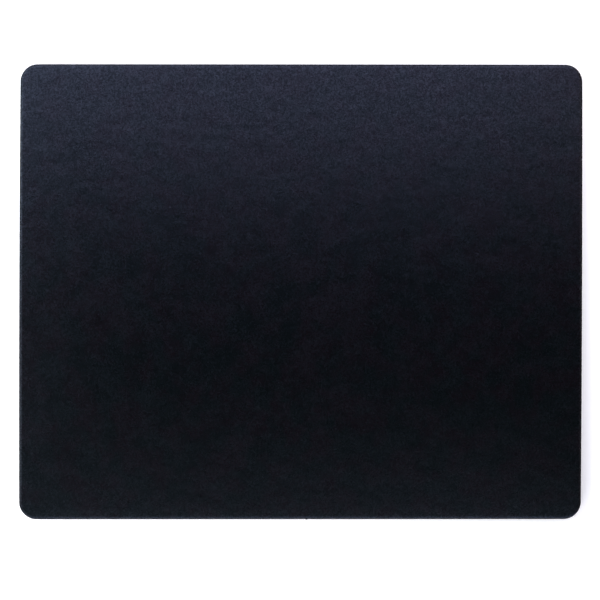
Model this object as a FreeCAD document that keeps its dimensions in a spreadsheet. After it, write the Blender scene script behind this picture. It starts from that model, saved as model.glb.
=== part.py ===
import FreeCAD, Part
import math
import os
import Sketcher

# A leatherette desk mat: a stiff board with a thin foam pad on it, wrapped in one sheet of
# leatherette whose hem is turned in under the board. A filler card levels the middle of the
# underside, and a felt backing closes it. Films and strips of adhesive hold the layers.
#
# Frame: origin at the middle of the felt's underside, +X along the long side, +Y away from
# the person at the desk, +Z up. Millimetres.

DIMENSIONS = {
    "mat_width": 431.8,
    "mat_depth": 349.25,
    "corner_radius": 13.5,
    "top_arris_radius": 3.0,
    "hem_arris_radius": 1.0,
    "cover_thickness": 0.8,
    "foam_thickness": 1.0,
    "board_thickness": 2.4,
    "felt_thickness": 1.0,
    "film_thickness": 0.1,
    "hem_width": 18.0,
    "hem_corner_radius": 6.0,
    "hem_to_card_gap": 0.5,
    "felt_inset": 4.0,
    "tape_inset": 3.0,
    "tape_width": 12.0,
    "tape_corner_gap": 22.0,
}

# Heights of the layers above the desk, from the felt upwards.
HEM_BOTTOM = "dims.felt_thickness + dims.film_thickness"
HEM_TOP = HEM_BOTTOM + " + dims.cover_thickness"
BOARD_BOTTOM = HEM_TOP + " + dims.film_thickness"
BOARD_TOP = BOARD_BOTTOM + " + dims.board_thickness"
FOAM_BOTTOM = BOARD_TOP + " + dims.film_thickness"
FOAM_TOP = FOAM_BOTTOM + " + dims.foam_thickness"

# The cavity inside the cover holds the board, the foam and the three films between them.
CAVITY_HEIGHT = "dims.board_thickness + dims.foam_thickness + 3 * dims.film_thickness"
COVER_HEIGHT = CAVITY_HEIGHT + " + 2 * dims.cover_thickness"

# The board and foam stand one glue line inside the cover's wall and its top arris.
CORE_INSET = "dims.cover_thickness + dims.film_thickness"
CORE_HEIGHT = "dims.board_thickness + dims.film_thickness + dims.foam_thickness"

# The filler card stands a narrow gap inside the hem's edge.
CARD_INSET = "dims.hem_width + dims.hem_to_card_gap"
CARD_RADIUS = "dims.hem_corner_radius - dims.hem_to_card_gap"

STEP_FOLDER = "parts"
LEVEL_TOLERANCE = 1e-4


def make_dimensions(doc):
    """The sheet of driving dimensions, in millimetres."""
    sheet = doc.addObject("Spreadsheet::Sheet", "dims")
    for row, (alias, value) in enumerate(DIMENSIONS.items(), start=1):
        sheet.set(f"A{row}", alias)
        sheet.set(f"B{row}", str(value))
        sheet.setAlias(f"B{row}", alias)
    doc.recompute()
    return sheet


def make_body(doc, label, base_height):
    """An empty body whose own XY plane lies at base_height."""
    body = doc.addObject("PartDesign::Body", label)
    body.Label = label
    body.setExpression("Placement.Base.z", base_height)
    return body


def xy_plane(body):
    return next(plane for plane in body.Origin.OriginFeatures if plane.Role == "XY_Plane")


def outline_sketch(body, name, inset, height="0", radius_rule=None):
    """The mat's rounded outline moved inwards by inset, at a height above the body's base.

    The corner radius shrinks with the inset unless another rule is given for it.
    """
    sketch = body.newObject("Sketcher::SketchObject", name)
    sketch.AttachmentSupport = [(xy_plane(body), "")]
    sketch.MapMode = "FlatFace"
    sketch.setExpression("AttachmentOffset.Base.z", height)

    width_rule = f"dims.mat_width - 2 * ({inset})"
    depth_rule = f"dims.mat_depth - 2 * ({inset})"
    radius_rule = radius_rule or f"dims.corner_radius - ({inset})"
    half_width = sketch.evalExpression(width_rule) / 2
    half_depth = sketch.evalExpression(depth_rule) / 2
    radius = sketch.evalExpression(radius_rule)
    straight_x = half_width - radius
    straight_y = half_depth - radius

    def point(x, y):
        return FreeCAD.Vector(x, y, 0)

    sides = [
        Part.LineSegment(point(-straight_x, -half_depth), point(straight_x, -half_depth)),
        Part.LineSegment(point(half_width, -straight_y), point(half_width, straight_y)),
        Part.LineSegment(point(straight_x, half_depth), point(-straight_x, half_depth)),
        Part.LineSegment(point(-half_width, straight_y), point(-half_width, -straight_y)),
    ]
    # Corner k follows side k, so the corners begin at the lower right one.
    corner_centres = [(1, -1), (1, 1), (-1, 1), (-1, -1)]
    quarter = math.pi / 2
    corners = []
    for index, (side_x, side_y) in enumerate(corner_centres):
        circle = Part.Circle(
            point(side_x * straight_x, side_y * straight_y), FreeCAD.Vector(0, 0, 1), radius
        )
        start = (index - 1) * quarter
        corners.append(Part.ArcOfCircle(circle, start, start + quarter))
    sketch.addGeometry(sides + corners, False)

    start_point, end_point, centre_point = 1, 2, 3
    for index in range(4):
        corner = 4 + index
        next_side = (index + 1) % 4
        sketch.addConstraint(Sketcher.Constraint("Tangent", index, end_point, corner, start_point))
        sketch.addConstraint(Sketcher.Constraint("Tangent", corner, end_point, next_side, start_point))
    for corner in (5, 6, 7):
        sketch.addConstraint(Sketcher.Constraint("Equal", 4, corner))
    sketch.addConstraint(Sketcher.Constraint("Horizontal", 0))
    sketch.addConstraint(Sketcher.Constraint("Vertical", 1))
    sketch.addConstraint(Sketcher.Constraint("Horizontal", 2))
    sketch.addConstraint(Sketcher.Constraint("Vertical", 3))
    sketch.addConstraint(
        Sketcher.Constraint("Symmetric", 4, centre_point, 6, centre_point, -1, start_point)
    )

    width_constraint = sketch.addConstraint(
        Sketcher.Constraint("DistanceX", 3, start_point, 1, start_point, 2 * half_width)
    )
    depth_constraint = sketch.addConstraint(
        Sketcher.Constraint("DistanceY", 0, start_point, 2, start_point, 2 * half_depth)
    )
    radius_constraint = sketch.addConstraint(Sketcher.Constraint("Radius", 4, radius))
    sketch.setExpression(f"Constraints[{width_constraint}]", width_rule)
    sketch.setExpression(f"Constraints[{depth_constraint}]", depth_rule)
    sketch.setExpression(f"Constraints[{radius_constraint}]", radius_rule)
    return sketch


def pad(body, sketch, thickness):
    feature = body.newObject("PartDesign::Pad", f"{body.Name}_pad")
    feature.Profile = sketch
    feature.setExpression("Length", thickness)
    return feature


def pocket_upwards(body, sketch, name, depth):
    """Cuts from the sketch towards +Z."""
    feature = body.newObject("PartDesign::Pocket", name)
    feature.Profile = sketch
    feature.Reversed = True
    feature.setExpression("Length", depth)
    return feature


def edges_at_height(shape, height):
    """Names of the edges that lie wholly at one height of the shape."""
    names = []
    for index, edge in enumerate(shape.Edges, start=1):
        box = edge.BoundBox
        if abs(box.ZMin - height) < LEVEL_TOLERANCE and abs(box.ZMax - height) < LEVEL_TOLERANCE:
            names.append(f"Edge{index}")
    return names


def fillet_level(body, base, name, height, radius):
    """Rounds every edge of the base feature at one height; the base is already computed."""
    level = body.evalExpression(height)
    feature = body.newObject("PartDesign::Fillet", name)
    feature.Base = (base, edges_at_height(base.Shape, level))
    feature.setExpression("Radius", radius)
    return feature


def layer(doc, label, inset, base_height, thickness, radius_rule=None):
    """A flat layer with the mat's rounded outline."""
    body = make_body(doc, label, base_height)
    sketch = outline_sketch(body, f"{label}_outline", inset, radius_rule=radius_rule)
    pad(body, sketch, thickness)
    return body


def rounded_block(doc, label, inset, base_height, height):
    """A block with the mat's outline, moved inwards by inset, and with its top arris rounded."""
    body = layer(doc, label, inset, base_height, height)
    doc.recompute()
    square = body.Tip
    rounded = fillet_level(
        body, square, f"{label}_arris", height, f"dims.top_arris_radius - ({inset})"
    )
    body.Tip = rounded
    doc.recompute()
    assert rounded.Shape.Volume < square.Shape.Volume
    return body


def make_cover(doc):
    """One sheet of leatherette: top, walls with rounded arrises, and the hem turned in below."""
    block = rounded_block(doc, "cover_block", "0", HEM_BOTTOM, COVER_HEIGHT)
    square = block.Tip
    hem_arris = fillet_level(block, square, "hem_arris", "0", "dims.hem_arris_radius")
    doc.recompute()
    hem_outline = outline_sketch(
        block, "hem_edge", "dims.hem_width", radius_rule="dims.hem_corner_radius"
    )
    hem_recess = pocket_upwards(block, hem_outline, "hem_recess", "dims.cover_thickness")
    block.Tip = hem_recess
    doc.recompute()

    cover = doc.addObject("Part::Cut", "leatherette_cover")
    cover.Label = "leatherette_cover"
    cover.Base = block
    cover.Tool = rounded_block(
        doc, "cover_cavity", "dims.cover_thickness", HEM_TOP, CAVITY_HEIGHT
    )
    doc.recompute()

    assert hem_arris.Shape.Volume < square.Shape.Volume
    assert hem_recess.Shape.Volume < hem_arris.Shape.Volume
    assert cover.Shape.Volume < hem_recess.Shape.Volume
    return cover


def trimmed_layer(doc, label, base_height, thickness, envelope):
    """A layer of the core, its edge rounded as the envelope's is at that height."""
    blank = layer(doc, f"{label}_blank", CORE_INSET, base_height, thickness)
    trimmed = doc.addObject("Part::Common", label)
    trimmed.Label = label
    trimmed.Base = blank
    trimmed.Tool = envelope
    return trimmed


def make_core(doc):
    """The stiff board that keeps the mat flat, the foam on it, and the film between them.

    Together they fill the space one glue line inside the cover's wall and top arris.
    """
    envelope = rounded_block(doc, "core_envelope", CORE_INSET, BOARD_BOTTOM, CORE_HEIGHT)
    return [
        trimmed_layer(doc, "core_board", BOARD_BOTTOM, "dims.board_thickness", envelope),
        trimmed_layer(doc, "foam_film", BOARD_TOP, "dims.film_thickness", envelope),
        trimmed_layer(doc, "foam_pad", FOAM_BOTTOM, "dims.foam_thickness", envelope),
    ]


def make_filler_card(doc):
    """Fills the underside inside the hem, level with it."""
    return layer(
        doc, "filler_card", CARD_INSET, HEM_BOTTOM, "dims.cover_thickness", CARD_RADIUS
    )


def make_felt(doc):
    """The non-slip backing, cut a little smaller than the mat."""
    return layer(doc, "felt_backing", "dims.felt_inset", "0", "dims.felt_thickness")


def make_films(doc):
    """The adhesive films from cover to foam, board to card, and card and hem to felt."""
    film = "dims.film_thickness"
    return [
        layer(doc, "cover_film", "dims.top_arris_radius", FOAM_TOP, film),
        layer(doc, "card_film", CARD_INSET, HEM_TOP, film, CARD_RADIUS),
        layer(doc, "felt_film", "dims.felt_inset", "dims.felt_thickness", film),
    ]


def make_tape(doc, side, along_x, outward):
    """One straight strip of adhesive tape between the hem and the board."""
    tape = doc.addObject("Part::Box", f"hem_tape_{side}")
    tape.Label = f"hem_tape_{side}"
    long_size, cross_size = ("mat_width", "mat_depth") if along_x else ("mat_depth", "mat_width")
    long_side, cross_side = ("Length", "Width") if along_x else ("Width", "Length")
    long_axis, cross_axis = ("x", "y") if along_x else ("y", "x")
    edge_to_tape = "dims.tape_inset" if outward < 0 else "dims.tape_inset + dims.tape_width"

    tape.setExpression(long_side, f"dims.{long_size} - 2 * dims.tape_corner_gap")
    tape.setExpression(cross_side, "dims.tape_width")
    tape.setExpression("Height", "dims.film_thickness")
    tape.setExpression(
        f"Placement.Base.{long_axis}", f"dims.tape_corner_gap - dims.{long_size} / 2"
    )
    tape.setExpression(
        f"Placement.Base.{cross_axis}",
        f"{outward} * (dims.{cross_size} / 2 - ({edge_to_tape}))",
    )
    tape.setExpression("Placement.Base.z", HEM_TOP)
    return tape


def make_tapes(doc):
    return [
        make_tape(doc, "front", along_x=True, outward=-1),
        make_tape(doc, "back", along_x=True, outward=1),
        make_tape(doc, "left", along_x=False, outward=-1),
        make_tape(doc, "right", along_x=False, outward=1),
    ]


def check_document(doc, sub_parts):
    """Stops before anything is written if a feature failed or a sub-part isn't one solid."""
    for item in doc.Objects:
        for state in ("Invalid", "Error"):
            if state in item.State:
                raise RuntimeError(f"{item.Label} is {state}")
    for item in doc.Objects:
        if item.TypeId == "Sketcher::SketchObject" and not item.FullyConstrained:
            raise RuntimeError(f"{item.Label} isn't fully constrained")
    for sub_part in sub_parts:
        shape = sub_part.Shape
        if shape.isNull() or not shape.isValid() or len(shape.Solids) != 1:
            raise RuntimeError(f"{sub_part.Label} has a bad shape")


def write_steps(sub_parts):
    os.makedirs(STEP_FOLDER, exist_ok=True)
    for sub_part in sub_parts:
        sub_part.Shape.exportStep(os.path.join(STEP_FOLDER, f"{sub_part.Label}.step"))
        box = sub_part.Shape.optimalBoundingBox()
        print(f"{sub_part.Label:18s} z {box.ZMin:5.2f} to {box.ZMax:5.2f}, "
              f"{box.XLength:7.2f} x {box.YLength:7.2f}, volume {sub_part.Shape.Volume:10.1f}")


def main():
    doc = FreeCAD.newDocument("desk_mat")
    make_dimensions(doc)
    sub_parts = [make_cover(doc), make_filler_card(doc), make_felt(doc)]
    sub_parts += make_core(doc)
    sub_parts += make_films(doc)
    sub_parts += make_tapes(doc)
    doc.recompute()
    check_document(doc, sub_parts)
    write_steps(sub_parts)


main()
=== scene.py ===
import math

import bmesh
import bpy
import numpy as np
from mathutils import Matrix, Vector, noise


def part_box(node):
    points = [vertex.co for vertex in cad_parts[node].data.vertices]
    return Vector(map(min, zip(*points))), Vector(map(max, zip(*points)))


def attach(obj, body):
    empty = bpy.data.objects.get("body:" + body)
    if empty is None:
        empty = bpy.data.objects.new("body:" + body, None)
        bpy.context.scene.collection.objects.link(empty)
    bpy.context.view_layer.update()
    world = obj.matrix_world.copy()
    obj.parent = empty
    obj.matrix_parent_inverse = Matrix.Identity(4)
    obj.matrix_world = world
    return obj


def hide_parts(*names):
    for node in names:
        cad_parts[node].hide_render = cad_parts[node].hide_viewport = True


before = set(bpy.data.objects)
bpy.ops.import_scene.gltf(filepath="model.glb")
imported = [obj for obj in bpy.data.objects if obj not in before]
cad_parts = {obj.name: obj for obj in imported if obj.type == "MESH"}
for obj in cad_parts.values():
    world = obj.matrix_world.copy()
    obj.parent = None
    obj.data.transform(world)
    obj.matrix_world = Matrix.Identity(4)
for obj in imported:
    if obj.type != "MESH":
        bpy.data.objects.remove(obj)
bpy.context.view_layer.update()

MM = 0.001

# ---------------------------------------------------------------------------------------
# Sizes, from the frame where it has them
# ---------------------------------------------------------------------------------------
COVER_LOW, COVER_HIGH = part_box("leatherette_cover")
CARD_LOW, CARD_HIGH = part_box("filler_card")
BOARD_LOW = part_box("core_board")[0]
FELT_LOW, FELT_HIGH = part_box("felt_backing")
FOAM_LOW, FOAM_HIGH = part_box("foam_pad")

WIDTH = COVER_HIGH.x - COVER_LOW.x
DEPTH = COVER_HIGH.y - COVER_LOW.y
TOP = COVER_HIGH.z
HEM_BOTTOM = COVER_LOW.z
HEM_TOP = CARD_HIGH.z
COVER_THICKNESS = HEM_TOP - HEM_BOTTOM
FELT_INSET = FELT_LOW.x - COVER_LOW.x

CORNER_RADIUS = 13.5 * MM
ARRIS_RADIUS = 3.0 * MM
HEM_ARRIS_RADIUS = 1.0 * MM
HEM_WIDTH = 18.0 * MM
HEM_CORNER_RADIUS = 6.0 * MM
CARD_GAP_WIDTH = CARD_LOW.x - COVER_LOW.x - HEM_WIDTH

# The soft shape: how far the padded top sinks towards its edge, and its slow unevenness.
PILLOW_DEPTH = 0.16 * MM
PILLOW_WIDTH = 13.0 * MM
WAVE_DEPTH = 0.035 * MM
WAVE_SIZE = 60.0 * MM
RIPPLE_SIZE = 24.0 * MM

# Folds where the hem is gathered round a corner, on the 4 mm strip outside the felt.
PLEAT_DEPTH = 0.34 * MM
PLEATS_PER_CORNER = 5

# Handwork: the outline leans, its short sides bow out, and the front edge has a small nib.
LEAN = 0.3 * MM
SIDE_BOW = 0.5 * MM
NIB_MIDDLE = 4.8 * MM
NIB_REACH = 0.5 * MM
NIB_HALF_WIDTH = 1.1 * MM
NIB_DENT_DEPTH = 0.35 * MM
NIB_DENT_WIDTH = 2.6 * MM

# Mesh spacing: how far apart the grid lines of each sheet are.
COVER_SPACING = 3.0 * MM
NIB_SPACING = 0.5 * MM
FOAM_SPACING = 5.0 * MM
FELT_SPACING = 4.0 * MM

# Leatherette grain.
PEBBLE_SIZE = 0.8 * MM
PEBBLE_TILT = 0.02
PEBBLE_WARP_SIZE = MM / 0.9
PEBBLE_WARP = 0.6 * MM
PORE_SIZE = 0.2 * MM
MOTTLE_SIZE = 2.4 * MM
CREASE_SIZE = 10.0 * MM

# Light colours, and how much the white table glows.
WHITE = (1.0, 1.0, 1.0)
COOL = (1.04, 1.0, 1.24)
TEAL = (0.84, 1.0, 1.15)
SKY = (0.9, 1.0, 1.3)
PLAIN = (0.97, 1.0, 1.0)
WARM = (1.25, 1.0, 1.0)
FLOOR_GLOW = 0.22


# ---------------------------------------------------------------------------------------
# Rounded outlines as grids
# ---------------------------------------------------------------------------------------
def axis_steps(spacing, half_length, corner_steps, fine=None):
    """One axis of a grid over the mat: (place along the straight side, place in the corner).

    The first runs from -1 to 1 between the corner centres, and the second from 0 at a corner
    centre to 1 or -1 at the outline. fine = (low, high, spacing) adds closer steps.
    """
    straight = half_length - CORNER_RADIUS
    places = list(np.linspace(-straight, straight, 2 * round(straight / spacing) + 1))
    if fine:
        low, high, close = fine
        places = [p for p in places if not low - close < p < high + close]
        places += list(np.arange(low, high + close / 2, close))
    middle = np.array(sorted(places)) / straight
    corner = np.linspace(0, 1, corner_steps + 1)[1:]
    along = np.concatenate([-np.ones(corner_steps), middle, np.ones(corner_steps)])
    into = np.concatenate([-corner[::-1], np.zeros(len(middle)), corner])
    return along, into


class Outline:
    """The mat's rounded outline, as a grid of points that can be laid at any inset."""

    def __init__(self, spacing, corner_steps, fine_x=None):
        self.along_x, self.into_x = axis_steps(spacing, WIDTH / 2, corner_steps, fine_x)
        self.along_y, self.into_y = axis_steps(spacing, DEPTH / 2, corner_steps)
        self.columns, self.rows = len(self.along_x), len(self.along_y)
        right, back = self.columns - 1, self.rows - 1
        loop = [(i, 0) for i in range(right)]
        loop += [(right, j) for j in range(back)]
        loop += [(i, back) for i in range(right, 0, -1)]
        loop += [(0, j) for j in range(back, 0, -1)]
        self.loop = np.array(loop)
        self.loop_index = self.loop[:, 1] * self.columns + self.loop[:, 0]

    def place(self, column, row, inset, radius=None):
        """x and y of grid points when the outline is moved inwards by inset."""
        if radius is None:
            radius = CORNER_RADIUS - inset
        centre_x = WIDTH / 2 - inset - radius
        centre_y = DEPTH / 2 - inset - radius
        into_x, into_y = self.into_x[column], self.into_y[row]
        x = self.along_x[column] * centre_x + into_x * np.sqrt(1 - into_y**2 / 2) * radius
        y = self.along_y[row] * centre_y + into_y * np.sqrt(1 - into_x**2 / 2) * radius
        return x, y

    def grid(self, inset, height):
        """Points of the whole grid; height(x, y) gives their z."""
        column, row = np.meshgrid(np.arange(self.columns), np.arange(self.rows))
        x, y = self.place(column.ravel(), row.ravel(), inset)
        return np.column_stack([x, y, height(x, y)])

    def ring(self, inset, height, radius=None):
        """Points of one ring round the outline; height(x, y) gives their z."""
        x, y = self.place(self.loop[:, 0], self.loop[:, 1], inset, radius)
        return np.column_stack([x, y, height(x, y)])

    def corner_share(self):
        """For each ring point, its place from 0 to 1 round its corner, and -1 on a side."""
        into_x = np.abs(self.into_x[self.loop[:, 0]])
        into_y = np.abs(self.into_y[self.loop[:, 1]])
        angle = np.arctan2(into_y * np.sqrt(1 - into_x**2 / 2), into_x * np.sqrt(1 - into_y**2 / 2))
        return np.where((into_x > 0) & (into_y > 0), angle / (math.pi / 2), -1.0)

    def grid_faces(self, start, upwards):
        faces = []
        for j in range(self.rows - 1):
            for i in range(self.columns - 1):
                a = start + j * self.columns + i
                quad = (a, a + 1, a + 1 + self.columns, a + self.columns)
                faces.append(quad if upwards else quad[::-1])
        return faces


def closed_shell(name, outline, top, rings, bottom):
    """A closed mesh: a top grid, rings round its edge from the top down, and a bottom grid."""
    count = len(outline.loop)
    points = [top, *rings, bottom]
    starts = np.cumsum([0] + [len(p) for p in points[:-1]])
    loops = [outline.loop_index]
    loops += [start + np.arange(count) for start in starts[1:-1]]
    loops += [starts[-1] + outline.loop_index]
    faces = outline.grid_faces(0, upwards=True)
    top_faces = len(faces)
    for upper, lower in zip(loops[:-1], loops[1:]):
        for k in range(count):
            following = (k + 1) % count
            faces.append((upper[k], lower[k], lower[following], upper[following]))
    faces += outline.grid_faces(int(starts[-1]), upwards=False)
    mesh = bpy.data.meshes.new(name)
    mesh.from_pydata(np.concatenate(points).tolist(), [], [tuple(map(int, f)) for f in faces])
    mesh.update()
    mesh.polygons.foreach_set("use_smooth", [True] * len(mesh.polygons))
    piece = bpy.data.objects.new(name, mesh)
    bpy.context.scene.collection.objects.link(piece)
    return piece, top_faces, count


def smooth_noise(x, y, size, seed):
    """Perlin noise from -1 to 1 over the plane, with lumps of about that size."""
    return np.array([noise.noise(Vector((a / size, b / size, seed))) for a, b in zip(x, y)])


def edge_distance(x, y):
    """How far points lie inside the mat's outline."""
    dx = np.abs(x) - (WIDTH / 2 - CORNER_RADIUS)
    dy = np.abs(y) - (DEPTH / 2 - CORNER_RADIUS)
    outside = np.hypot(np.maximum(dx, 0), np.maximum(dy, 0))
    return CORNER_RADIUS - outside - np.minimum(np.maximum(dx, dy), 0)


# ---------------------------------------------------------------------------------------
# Leatherette cover
# ---------------------------------------------------------------------------------------
def pillow(inset):
    """How far the padded top has sunk at that distance from the edge."""
    return PILLOW_DEPTH * np.clip(1 - inset / PILLOW_WIDTH, 0, 1) ** 2


def cover_top_height(x, y):
    wave = smooth_noise(x, y, WAVE_SIZE, 1.7) + 0.5 * smooth_noise(x, y, RIPPLE_SIZE, 5.2)
    return TOP - WAVE_DEPTH + WAVE_DEPTH * wave - pillow(edge_distance(x, y))


def pleats(outline, random):
    """How deep the gathered hem hangs at each ring point, from 0 to 1, in folds at the corners."""
    share = outline.corner_share()
    depth = np.zeros(len(share))
    x, y = outline.place(outline.loop[:, 0], outline.loop[:, 1], 0)
    for side_x, side_y in ((1, 1), (1, -1), (-1, 1), (-1, -1)):
        here = (share >= 0) & (np.sign(x) == side_x) & (np.sign(y) == side_y)
        for fold in range(PLEATS_PER_CORNER):
            middle = (fold + 0.5 + random.uniform(-0.18, 0.18)) / PLEATS_PER_CORNER
            half_width = random.uniform(0.06, 0.09)
            size = random.uniform(0.65, 1.0)
            bump = np.clip(1 - np.abs(share - middle) / half_width, 0, 1)
            depth = np.maximum(depth, np.where(here, size * bump * bump * (3 - 2 * bump), 0))
    return depth


def cover_outside(outline, folds):
    """Rings down the arris and the wall and along the hem's underside."""
    rings = []
    arris_steps, hem_arris_steps = 12, 5
    for step in range(1, arris_steps + 1):
        angle = math.radians(90 * step / arris_steps)
        inset = ARRIS_RADIUS * (1 - math.sin(angle))
        drop = ARRIS_RADIUS * (1 - math.cos(angle))
        rings.append(outline.ring(inset, lambda x, y: cover_top_height(x, y) - drop))
    wall_top = TOP - ARRIS_RADIUS
    wall_bottom = HEM_BOTTOM + HEM_ARRIS_RADIUS
    wall_middle = (wall_top + wall_bottom) / 2 - 0.05 * MM
    for level in (wall_middle, wall_bottom):
        rings.append(outline.ring(0, lambda x, y: np.full(len(x), level)))
    for step in range(1, hem_arris_steps + 1):
        shown = step / hem_arris_steps
        angle = math.radians(90 * shown)
        inset = HEM_ARRIS_RADIUS * (1 - math.cos(angle))
        level = wall_bottom - HEM_ARRIS_RADIUS * math.sin(angle)
        rings.append(outline.ring(inset, lambda x, y: level - PLEAT_DEPTH * folds * shown))
    for inset_mm in (1.6, 2.3, 3.0, 3.5, 3.9, 5.0, 7.5, 10.0, 12.5, 15.0, 17.0, 18.0):
        inset = inset_mm * MM
        radius = max(CORNER_RADIUS - inset, HEM_CORNER_RADIUS)
        under_felt = inset >= FELT_INSET - 0.3 * MM
        depth = 0.0 if under_felt else PLEAT_DEPTH * (1 - (inset / FELT_INSET) ** 4)
        rings.append(outline.ring(inset, lambda x, y: HEM_BOTTOM - depth * folds, radius))
    return rings


def cover_inside(outline):
    """Rings back along the hem's upper side, up the wall and round the arris."""
    rings = []
    inner_arris = ARRIS_RADIUS - COVER_THICKNESS
    first_angle, arris_steps = math.radians(15), 6
    for inset_mm in (18.0, 12.0, 6.0, 2.5, 1.0):
        inset = inset_mm * MM
        radius = max(CORNER_RADIUS - inset, HEM_CORNER_RADIUS)
        rings.append(outline.ring(inset, lambda x, y: np.full(len(x), HEM_TOP), radius))
    rings.append(outline.ring(COVER_THICKNESS, lambda x, y: np.full(len(x), HEM_TOP + 0.2 * MM)))
    for step in reversed(range(arris_steps)):
        angle = math.radians(90 * step / arris_steps) + first_angle
        inset = ARRIS_RADIUS - inner_arris * math.sin(angle)
        drop = inner_arris * (1 - math.cos(angle))
        rings.append(
            outline.ring(inset, lambda x, y: cover_top_height(x, y) - COVER_THICKNESS - drop)
        )
    return rings


def make_cover():
    near_nib = (NIB_MIDDLE - 6.8 * MM, NIB_MIDDLE + 7.2 * MM, NIB_SPACING)
    outline = Outline(COVER_SPACING, 14, fine_x=near_nib)
    folds = pleats(outline, np.random.default_rng(11))
    outside = cover_outside(outline, folds)
    inside = cover_inside(outline)
    piece, top_faces, count = closed_shell(
        "leatherette_cover_skin",
        outline,
        outline.grid(ARRIS_RADIUS, cover_top_height),
        outside + inside,
        outline.grid(ARRIS_RADIUS, lambda x, y: cover_top_height(x, y) - COVER_THICKNESS),
    )
    outer_faces = top_faces + count * len(outside)
    back = [0] * outer_faces + [1] * (len(piece.data.polygons) - outer_faces)
    piece.data.materials.append(leatherette_material())
    piece.data.materials.append(back_cloth_material())
    piece.data.polygons.foreach_set("material_index", back)
    handwork(piece, outline.columns * outline.rows + count * len(outside))
    cover_nib(piece)
    piece.data.set_sharp_from_angle(angle=math.radians(60))
    return piece


def handwork(piece, outer_vertices):
    """The wrapped outline isn't quite square: it leans a little and its short sides bow out."""
    for vertex in piece.data.vertices[:outer_vertices]:
        x, y, _ = vertex.co
        across, along = x / (WIDTH / 2), y / (DEPTH / 2)
        vertex.co.x = x + LEAN * along + SIDE_BOW * across * (0.5 - along * along)
        vertex.co.y = y + LEAN * across * (1.1 - 0.5 * along)


def cover_nib(piece):
    """A small pinch of the leatherette at the middle of the front edge."""
    strip = DEPTH / 2 - 2.6 * MM
    for vertex in piece.data.vertices:
        x, y, z = vertex.co
        beyond = -y - strip
        aside = abs(x - NIB_MIDDLE)
        if beyond > 0 and aside < 8 * MM:
            near = max(0.0, 1 - aside / NIB_HALF_WIDTH)
            vertex.co.y = y - NIB_REACH * near * min(1.0, beyond / (1.8 * MM))
            if z > HEM_TOP:
                dent = math.exp(-((aside / NIB_DENT_WIDTH) ** 2))
                vertex.co.z = z - NIB_DENT_DEPTH * dent * min(1.0, beyond / (1.5 * MM))


# ---------------------------------------------------------------------------------------
# Foam and felt
# ---------------------------------------------------------------------------------------
def make_foam():
    """The foam pad, rounded under the cover's arris and a little uneven."""
    outline = Outline(FOAM_SPACING, 6)
    low_inset = FOAM_LOW.x - COVER_LOW.x
    thickness = FOAM_HIGH.z - FOAM_LOW.z
    envelope = ARRIS_RADIUS - (BOARD_LOW.x - COVER_LOW.x)
    clearance = 0.02 * MM

    def top_height(x, y):
        uneven = smooth_noise(x, y, WAVE_SIZE, 1.7) + smooth_noise(x, y, 3 * MM, 9.1)
        return FOAM_HIGH.z - clearance + 0.01 * MM * (uneven - 2)

    rings = []
    for share in (0.97, 0.9, 0.75, 0.55, 0.3, 0.0):
        below = envelope - thickness * (1 - share)
        inset = ARRIS_RADIUS - math.sqrt(max(envelope**2 - below**2, 0.0))
        level = FOAM_LOW.z + thickness * share
        rings.append(outline.ring(inset, lambda x, y: np.full(len(x), level)))
    piece, _, _ = closed_shell(
        "foam_sheet",
        outline,
        outline.grid(ARRIS_RADIUS, top_height),
        rings,
        outline.grid(low_inset + 0.4 * MM, lambda x, y: np.full(len(x), FOAM_LOW.z)),
    )
    piece.data.materials.append(foam_material())
    return piece


def felt_under_height(x, y):
    """The felt's underside: a soft nap, and a faint line where the hem meets the card."""
    nap = smooth_noise(x, y, 2.5 * MM, 3.3) * 0.5 + 0.5
    slow = smooth_noise(x, y, 30 * MM, 8.8) * 0.5 + 0.5
    line = HEM_WIDTH + CARD_GAP_WIDTH / 2
    groove = np.exp(-(((edge_distance(x, y) - line) / (1.6 * MM)) ** 2))
    return FELT_LOW.z + 0.03 * MM * nap + 0.04 * MM * slow + 0.12 * MM * groove


def make_felt():
    """The felt backing, with a cut edge that isn't quite straight."""
    outline = Outline(FELT_SPACING, 8)
    thickness = FELT_HIGH.z - FELT_LOW.z

    def fuzzy_ring(inset, level, seed):
        ring = outline.ring(inset, lambda x, y: np.full(len(x), level))
        fuzz = smooth_noise(ring[:, 0], ring[:, 1], 1.3 * MM, seed) * 0.09 * MM
        slow = smooth_noise(ring[:, 0], ring[:, 1], 35 * MM, seed) * 0.15 * MM
        centre = np.clip(ring[:, :2], *straight_box())
        outward = ring[:, :2] - centre
        outward /= np.linalg.norm(outward, axis=1)[:, None]
        ring[:, :2] += outward * (fuzz + slow)[:, None]
        return ring

    rings = [fuzzy_ring(FELT_INSET + 0.05 * MM, FELT_HIGH.z - 0.02 * MM, 2.1)]
    for share in (0.75, 0.5, 0.28):
        rings.append(fuzzy_ring(FELT_INSET, FELT_LOW.z + thickness * share, 2.1 + share))
    rings.append(fuzzy_ring(FELT_INSET + 0.1 * MM, FELT_LOW.z + 0.12 * thickness, 2.8))
    piece, _, _ = closed_shell(
        "felt_sheet",
        outline,
        outline.grid(FELT_INSET + 0.5 * MM, lambda x, y: np.full(len(x), FELT_HIGH.z)),
        rings,
        outline.grid(FELT_INSET + 0.5 * MM, felt_under_height),
    )
    piece.data.materials.append(felt_material())
    return piece


def straight_box():
    """The box of the corner centres, as the low and high limits of a point's x and y."""
    half = np.array([WIDTH / 2 - CORNER_RADIUS, DEPTH / 2 - CORNER_RADIUS])
    return -half, half


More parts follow.
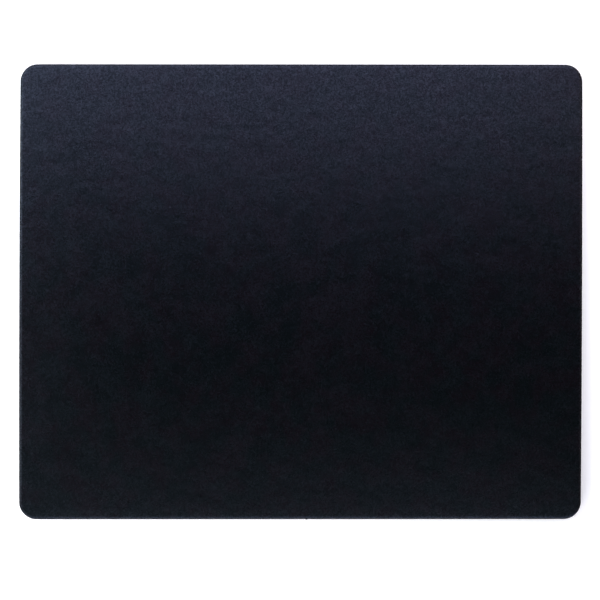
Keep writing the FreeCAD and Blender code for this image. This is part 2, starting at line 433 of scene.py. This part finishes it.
# ---------------------------------------------------------------------------------------
# Materials
# ---------------------------------------------------------------------------------------
class Graph:
    """A material's node tree, with short calls for the nodes used here."""

    def __init__(self, name):
        self.material = bpy.data.materials.new(name)
        self.material.use_nodes = True
        self.nodes = self.material.node_tree.nodes
        self.links = self.material.node_tree.links
        self.shader = self.nodes["Principled BSDF"]
        self.place = self.nodes.new("ShaderNodeTexCoord").outputs["Object"]

    def set_input(self, socket, value):
        if isinstance(value, bpy.types.NodeSocket):
            self.links.new(value, socket)
        else:
            socket.default_value = value

    def node(self, kind, output, settings=None, **inputs):
        made = self.nodes.new("ShaderNode" + kind)
        for key, value in (settings or {}).items():
            setattr(made, key, value)
        for key, value in inputs.items():
            self.set_input(made.inputs[key.replace("_", " ")], value)
        return made.outputs[output]

    def warped(self, size, amount):
        """Object coordinates, shifted here and there by up to that many metres."""
        shift = self.node("TexNoise", "Color", Vector=self.place, Scale=1 / size, Detail=2.0)
        made = self.nodes.new("ShaderNodeVectorMath")
        made.operation = "MULTIPLY_ADD"
        self.links.new(shift, made.inputs[0])
        made.inputs[1].default_value = [amount] * 3
        self.links.new(self.place, made.inputs[2])
        return made.outputs[0]

    def turned(self, angle=0.0, stretch=(1, 1, 1)):
        return self.node(
            "Mapping",
            "Vector",
            Vector=self.place,
            Rotation=(0, 0, math.radians(angle)),
            Scale=stretch,
        )

    def noise(self, size, detail=3.0, roughness=0.55, vector=None, distortion=0.0):
        """Noise from 0 to 1 with lumps of about that size in metres."""
        return self.node(
            "TexNoise",
            "Fac",
            Vector=vector or self.place,
            Scale=0.5 / size,
            Detail=detail,
            Roughness=roughness,
            Distortion=distortion,
        )

    def cells(self, size, feature="F1", vector=None):
        return self.node(
            "TexVoronoi",
            "Distance",
            {"feature": feature},
            Vector=vector or self.place,
            Scale=1 / size,
        )

    def remap(self, value, low, high, to_low=0.0, to_high=1.0):
        return self.node(
            "MapRange",
            "Result",
            Value=value,
            From_Min=low,
            From_Max=high,
            To_Min=to_low,
            To_Max=to_high,
        )

    def maths(self, operation, a, b=0.0):
        made = self.nodes.new("ShaderNodeMath")
        made.operation = operation
        self.set_input(made.inputs[0], a)
        self.set_input(made.inputs[1], b)
        return made.outputs[0]

    def mix(self, share, a, b):
        """A colour between a and b."""
        made = self.nodes.new("ShaderNodeMix")
        made.data_type = "RGBA"
        self.set_input(made.inputs["Factor"], share)
        self.set_input(made.inputs[6], a)
        self.set_input(made.inputs[7], b)
        return made.outputs[2]

    def bump(self, height, distance, strength=1.0, normal=None):
        made = self.nodes.new("ShaderNodeBump")
        made.inputs["Strength"].default_value = strength
        made.inputs["Distance"].default_value = distance
        self.links.new(height, made.inputs["Height"])
        if normal is not None:
            self.links.new(normal, made.inputs["Normal"])
        return made.outputs["Normal"]

    def tilted(self, random_colour, amount):
        """The surface normal, leaning by a different small amount wherever the colour differs."""
        lean = self.nodes.new("ShaderNodeVectorMath")
        lean.operation = "MULTIPLY_ADD"
        self.links.new(random_colour, lean.inputs[0])
        lean.inputs[1].default_value = [amount] * 3
        lean.inputs[2].default_value = [-amount / 2] * 3
        total = self.nodes.new("ShaderNodeVectorMath")
        self.links.new(lean.outputs[0], total.inputs[0])
        self.links.new(self.nodes.new("ShaderNodeNewGeometry").outputs["Normal"], total.inputs[1])
        unit = self.nodes.new("ShaderNodeVectorMath")
        unit.operation = "NORMALIZE"
        self.links.new(total.outputs[0], unit.inputs[0])
        return unit.outputs[0]

    def finish(self, colour, roughness, normal=None, **constants):
        self.set_input(self.shader.inputs["Base Color"], colour)
        self.set_input(self.shader.inputs["Roughness"], roughness)
        if normal is not None:
            self.links.new(normal, self.shader.inputs["Normal"])
        for key, value in constants.items():
            self.shader.inputs[key.replace("_", " ")].default_value = value
        return self.material


def rgb(red, green, blue):
    return (red, green, blue, 1.0)


def leatherette_material():
    """Black leatherette: a fine pebble grain, soft creases, blue, plum and teal tints, and painted
    shade in the grain's valleys.
    """
    g = Graph("leatherette")
    warped = g.warped(PEBBLE_WARP_SIZE, PEBBLE_WARP)
    pebble = g.remap(g.cells(PEBBLE_SIZE, "DISTANCE_TO_EDGE", warped), 0.0, 0.3)
    pebble_random = g.node(
        "TexVoronoi",
        "Color",
        {"feature": "SMOOTH_F1"},
        Vector=warped,
        Scale=1 / PEBBLE_SIZE,
        Smoothness=0.8,
    )
    pebble_tone = g.node("SeparateColor", "Red", Color=pebble_random)
    pebble_polish = g.node("SeparateColor", "Green", Color=pebble_random)
    pebble_shine = g.node("SeparateColor", "Blue", Color=pebble_random)
    pores = g.noise(PORE_SIZE, 2.0)
    mottle = g.noise(MOTTLE_SIZE, 1.0, 0.5)
    creases = g.noise(CREASE_SIZE, 1.0, 0.5, g.turned(38, (1, 1.6, 1)), 0.5)
    clouds = g.noise(7 * MM, 2.0, 0.5)
    tint = g.noise(8 * MM, 2.0, 0.5)

    blue_black = rgb(0.0010, 0.0017, 0.0019)
    plum_black = rgb(0.0026, 0.0013, 0.0021)
    teal_black = rgb(0.0005, 0.0022, 0.0020)
    colour = g.mix(g.remap(tint, 0.4, 0.6), blue_black, plum_black)
    colour = g.mix(g.remap(pebble_tone, 0.3, 1.0, 0.0, 0.8), colour, teal_black)
    # Painted shade: the colour darkens towards the pebbles' edges, standing in for the shadow in
    # the grain's hollows.
    valley_painted_shade = rgb(0.0003, 0.0003, 0.0004)
    colour = g.mix(g.remap(pebble, 0.0, 1.0, 0.2, 0.0), colour, valley_painted_shade)

    roughness = g.remap(pebble_polish, 0.0, 1.0, 0.23, 0.32)
    roughness = g.maths("ADD", roughness, g.remap(clouds, 0.3, 0.7, -0.025, 0.025))

    # Some pebbles shine more than others; the mean is a plain surface's.
    shine = g.remap(pebble_shine, 0.2, 0.8, 0.3, 0.7)
    shine = g.maths("MULTIPLY", shine, g.remap(mottle, 0.3, 0.7, 0.94, 1.06))
    g.set_input(g.shader.inputs["Specular IOR Level"], shine)

    # Each pebble leans a little its own way, over soft creases and under fine pores.
    normal = g.tilted(pebble_random, PEBBLE_TILT)
    normal = g.bump(creases, 0.2 * MM, 1.0, normal)
    normal = g.bump(mottle, 0.035 * MM, 1.0, normal)
    normal = g.bump(pebble, 0.03 * MM, 1.0, normal)
    normal = g.bump(pores, 0.005 * MM, 1.0, normal)
    bluish = rgb(0.63, 0.74, 1.0)
    return g.finish(colour, roughness, normal, IOR=1.6, Specular_Tint=bluish)


def back_cloth_material():
    """The woven cloth on the back of the leatherette."""
    g = Graph("leatherette_back_cloth")
    threads = 620.0
    across = g.node("TexWave", "Fac", {"bands_direction": "X"}, Vector=g.place, Scale=threads)
    along = g.node("TexWave", "Fac", {"bands_direction": "Y"}, Vector=g.place, Scale=threads)
    weave = g.maths("MULTIPLY", across, along)
    colour = g.mix(weave, rgb(0.035, 0.035, 0.037), rgb(0.09, 0.09, 0.092))
    fibre = g.noise(0.2 * MM, 3.0)
    normal = g.bump(weave, 0.08 * MM, 0.7)
    normal = g.bump(fibre, 0.03 * MM, 0.6, normal)
    return g.finish(colour, g.remap(fibre, 0.3, 0.7, 0.85, 0.98), normal, Sheen_Weight=0.15)


def felt_material():
    """Charcoal felt: matted fibres and a faint fuzz."""
    g = Graph("felt")
    fibres = g.noise(0.7 * MM, 5.0, 0.7, g.turned(20, (1, 3.2, 1)), 1.5)
    crossing = g.noise(0.7 * MM, 5.0, 0.7, g.turned(-50, (1, 3.2, 1)), 1.5)
    matted = g.maths("MAXIMUM", fibres, crossing)
    clumps = g.noise(5 * MM, 3.0)
    colour = g.mix(g.remap(matted, 0.48, 0.68), rgb(0.004, 0.004, 0.005), rgb(0.04, 0.04, 0.043))
    colour = g.mix(g.remap(clumps, 0.35, 0.7, 0.0, 0.35), colour, rgb(0.014, 0.014, 0.016))
    normal = g.bump(matted, 0.4 * MM, 1.0)
    normal = g.bump(clumps, 0.3 * MM, 0.4, normal)
    roughness = g.remap(fibres, 0.3, 0.7, 0.88, 1.0)
    return g.finish(colour, roughness, normal, Sheen_Weight=0.1)


def foam_material():
    """Off-white closed-cell foam."""
    g = Graph("foam")
    cells = g.cells(0.45 * MM, "F1")
    patches = g.noise(12 * MM, 3.0)
    colour = g.mix(g.remap(cells, 0.1, 0.7), rgb(0.74, 0.73, 0.70), rgb(0.52, 0.51, 0.48))
    colour = g.mix(g.remap(patches, 0.4, 0.7, 0.0, 0.3), colour, rgb(0.66, 0.63, 0.55))
    normal = g.bump(cells, 0.15 * MM, 0.8)
    return g.finish(colour, g.remap(patches, 0.3, 0.7, 0.75, 0.9), normal)


def hardboard_material():
    """Pressed wood fibres, brown, with a harder, smoother face."""
    g = Graph("hardboard")
    fibres = g.noise(1.2 * MM, 6.0, 0.65, g.turned(15, (1, 3.5, 1)), 1.2)
    flecks = g.noise(0.5 * MM, 4.0, 0.7, g.turned(-40, (1, 4.0, 1)), 1.0)
    blotches = g.noise(25 * MM, 3.0)
    colour = g.mix(g.remap(fibres, 0.3, 0.7), rgb(0.16, 0.085, 0.04), rgb(0.33, 0.20, 0.105))
    colour = g.mix(g.remap(flecks, 0.62, 0.78, 0.0, 0.7), colour, rgb(0.07, 0.038, 0.02))
    colour = g.mix(g.remap(blotches, 0.4, 0.7, 0.0, 0.25), colour, rgb(0.24, 0.15, 0.08))
    normal = g.bump(fibres, 0.08 * MM, 0.6)
    return g.finish(colour, g.remap(fibres, 0.3, 0.7, 0.5, 0.75), normal)


def card_material():
    """Recycled grey card with short fibres in it."""
    g = Graph("grey_card")
    pulp = g.noise(0.6 * MM, 5.0, 0.65)
    flecks = g.noise(0.8 * MM, 3.0, 0.6, g.turned(35, (1, 5.0, 1)), 1.5)
    colour = g.mix(g.remap(pulp, 0.3, 0.7), rgb(0.30, 0.285, 0.25), rgb(0.46, 0.44, 0.40))
    colour = g.mix(g.remap(flecks, 0.64, 0.76, 0.0, 0.6), colour, rgb(0.14, 0.13, 0.12))
    normal = g.bump(pulp, 0.05 * MM, 0.6)
    return g.finish(colour, g.remap(pulp, 0.3, 0.7, 0.8, 0.95), normal)


def adhesive_material():
    """A clear amber layer of glue, with rolled streaks."""
    g = Graph("adhesive")
    streaks = g.noise(3 * MM, 4.0, 0.6, g.turned(0, (1, 5.0, 1)))
    bubbles = g.cells(1.6 * MM, "F1")
    colour = g.mix(streaks, rgb(0.62, 0.56, 0.40), rgb(0.78, 0.74, 0.60))
    colour = g.mix(g.remap(bubbles, 0.0, 0.16, 0.5, 0.0), colour, rgb(0.86, 0.84, 0.76))
    normal = g.bump(streaks, 0.03 * MM, 0.5)
    return g.finish(colour, g.remap(streaks, 0.3, 0.7, 0.16, 0.34), normal)


def tape_material():
    """The cream paper carrier of double-sided tape."""
    g = Graph("tape_paper")
    tissue = g.noise(0.5 * MM, 5.0, 0.7, g.turned(8, (1, 3.0, 1)), 1.0)
    colour = g.mix(g.remap(tissue, 0.3, 0.7), rgb(0.72, 0.68, 0.56), rgb(0.84, 0.81, 0.72))
    normal = g.bump(tissue, 0.02 * MM, 0.6)
    return g.finish(colour, g.remap(tissue, 0.3, 0.7, 0.45, 0.65), normal)


def paint_node(name, material):
    """Gives a CAD node its material, leaving its mesh as it is."""
    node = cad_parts[name]
    if not node.material_slots:
        node.data.materials.append(material)
    for material_slot in node.material_slots:
        material_slot.link = "OBJECT"
        material_slot.material = material


# ---------------------------------------------------------------------------------------
# Stage, lights and camera
# ---------------------------------------------------------------------------------------
def make_floor():
    """A plain white table that sweeps up all round into a pale backdrop, and glows a little."""
    flat_radius, bend, wall_height = 2.2, 0.8, 1.8
    bend_steps, segments = 12, 96
    profile = [(0.0, 0.0), (flat_radius, 0.0)]
    for step in range(1, bend_steps + 1):
        angle = math.radians(90 * step / bend_steps)
        profile.append((flat_radius + bend * math.sin(angle), bend * (1 - math.cos(angle))))
    profile.append((flat_radius + bend, wall_height))
    mesh = bpy.data.meshes.new("studio_floor")
    shape = bmesh.new()
    outline = [shape.verts.new((radius, 0, height)) for radius, height in profile]
    edges = [shape.edges.new(pair) for pair in zip(outline[:-1], outline[1:])]
    bmesh.ops.spin(
        shape, geom=outline + edges, axis=(0, 0, 1), angle=2 * math.pi, steps=segments
    )
    bmesh.ops.remove_doubles(shape, verts=shape.verts, dist=MM)
    bmesh.ops.recalc_face_normals(shape, faces=shape.faces)
    shape.to_mesh(mesh)
    shape.free()
    mesh.polygons.foreach_set("use_smooth", [True] * len(mesh.polygons))
    floor = bpy.data.objects.new("studio_floor", mesh)
    bpy.context.scene.collection.objects.link(floor)
    g = Graph("studio_floor")
    paper = g.noise(0.4, 2.0)
    colour = g.mix(paper, rgb(0.84, 0.84, 0.85), rgb(0.86, 0.86, 0.87))
    g.finish(colour, 0.9, Specular_IOR_Level=0.1)
    g.shader.inputs["Emission Color"].default_value = rgb(1, 1, 1)
    g.shader.inputs["Emission Strength"].default_value = FLOOR_GLOW
    mesh.materials.append(g.material)
    floor.visible_glossy = False


def softbox(name, place, target, size, radiance, colour, reflected=True):
    """A rectangular soft light; radiance 1 looks as bright as white paper.

    reflected=False keeps a light that only brightens the table out of the leatherette's shine.
    """
    data = bpy.data.lights.new(name, "AREA")
    data.shape = "RECTANGLE"
    data.size, data.size_y = size
    data.energy = radiance * math.pi * size[0] * size[1]
    data.color = colour
    light = bpy.data.objects.new(name, data)
    light.location = place
    light.rotation_euler = (Vector(target) - Vector(place)).to_track_quat("-Z", "Y").to_euler()
    light.visible_camera = False
    light.visible_glossy = reflected
    bpy.context.scene.collection.objects.link(light)


def make_lights():
    """A tent of softboxes round the mat, brightest and bluest behind it."""
    softbox("back_high", (-0.4, 0.88, 1.45), (-0.4, 0.1, 0), (2.6, 0.9), 1.05, COOL)
    softbox("back_middle", (-0.2, 1.3, 0.9), (-0.2, 0.1, 0), (2.6, 0.7), 0.6, COOL)
    softbox("back_low", (0, 1.6, 0.45), (0, 0.2, 0.2), (3.0, 0.4), 2.0, COOL)
    softbox("back_left", (-1.0, 0.9, 0.9), (0, 0, 0), (0.9, 0.9), 1.0, TEAL)
    softbox("left_low", (-1.3, 0.5, 0.3), (-0.1, 0.1, 0), (1.0, 0.5), 1.5, TEAL)
    softbox("left_high", (-0.75, -0.12, 0.8), (-0.1, -0.06, 0), (0.5, 0.35), 0.25, PLAIN)
    softbox("left_middle", (-1.0, 0.0, 0.6), (0, 0, 0), (0.9, 0.6), 1.2, PLAIN)
    softbox("left_front", (-0.9, -0.6, 0.42), (0, 0, 0), (0.9, 0.7), 0.4, PLAIN)
    softbox("front_high", (0, -0.75, 1.0), (0, 0, 0), (1.6, 0.5), 0.54, PLAIN)
    softbox("front_low", (0, -0.9, 0.3), (0, 0, 0), (2.0, 0.5), 0.85, SKY)
    softbox("right_back", (1.0, 0.5, 0.75), (0.1, 0.05, 0), (0.8, 0.6), 0.7, WARM)
    softbox("right_front", (1.0, -0.3, 0.4), (0.1, 0, 0), (0.8, 0.6), 0.2, WARM)
    softbox("table_left", (-1.2, -0.05, 0.5), (0, 0, 0), (0.5, 0.3), 36.0, WHITE, False)
    softbox("table_front", (-0.5, -1.0, 0.4), (0, 0, 0), (0.6, 0.2), 26.0, WHITE, False)
    softbox("table_right", (0.5, 0.33, 0.25), (0.25, 0.1, 0), (0.15, 0.15), 20.0, WHITE, False)
    world = bpy.data.worlds.new("studio_air")
    world.use_nodes = True
    background = world.node_tree.nodes["Background"]
    background.inputs["Color"].default_value = rgb(1.0, 1.0, 1.0)
    background.inputs["Strength"].default_value = 0.01
    bpy.context.scene.world = world


def make_camera():
    """Straight above the mat; the picture is a little wider than the mat is."""
    margin = 1.0677
    data = bpy.data.cameras.new("camera")
    data.lens = 50
    data.sensor_width = 36
    picture_width = margin * WIDTH
    outline_level = TOP - ARRIS_RADIUS
    height = outline_level + data.lens / data.sensor_width * picture_width
    camera = bpy.data.objects.new("camera", data)
    camera.location = (-0.5 * MM, -6.3 * MM, height)
    camera.rotation_euler = (0, 0, math.radians(0.1))
    bpy.context.scene.collection.objects.link(camera)
    bpy.context.scene.camera = camera
    bpy.context.scene.view_settings.view_transform = "Standard"


# ---------------------------------------------------------------------------------------
# Putting it together
# ---------------------------------------------------------------------------------------
cover = make_cover()
foam = make_foam()
felt = make_felt()
for piece, node, slot in (
    (cover, "leatherette_cover", "leatherette"),
    (foam, "foam_pad", "foam"),
    (felt, "felt_backing", "felt"),
):
    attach(piece, "root")
    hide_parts(node)

adhesive = adhesive_material()
for film in ("cover_film", "foam_film", "card_film", "felt_film"):
    paint_node(film, adhesive)
tape_paper = tape_material()
for side in ("front", "back", "left", "right"):
    paint_node(f"hem_tape_{side}", tape_paper)
paint_node("core_board", hardboard_material())
paint_node("filler_card", card_material())

make_floor()
make_lights()
make_camera()
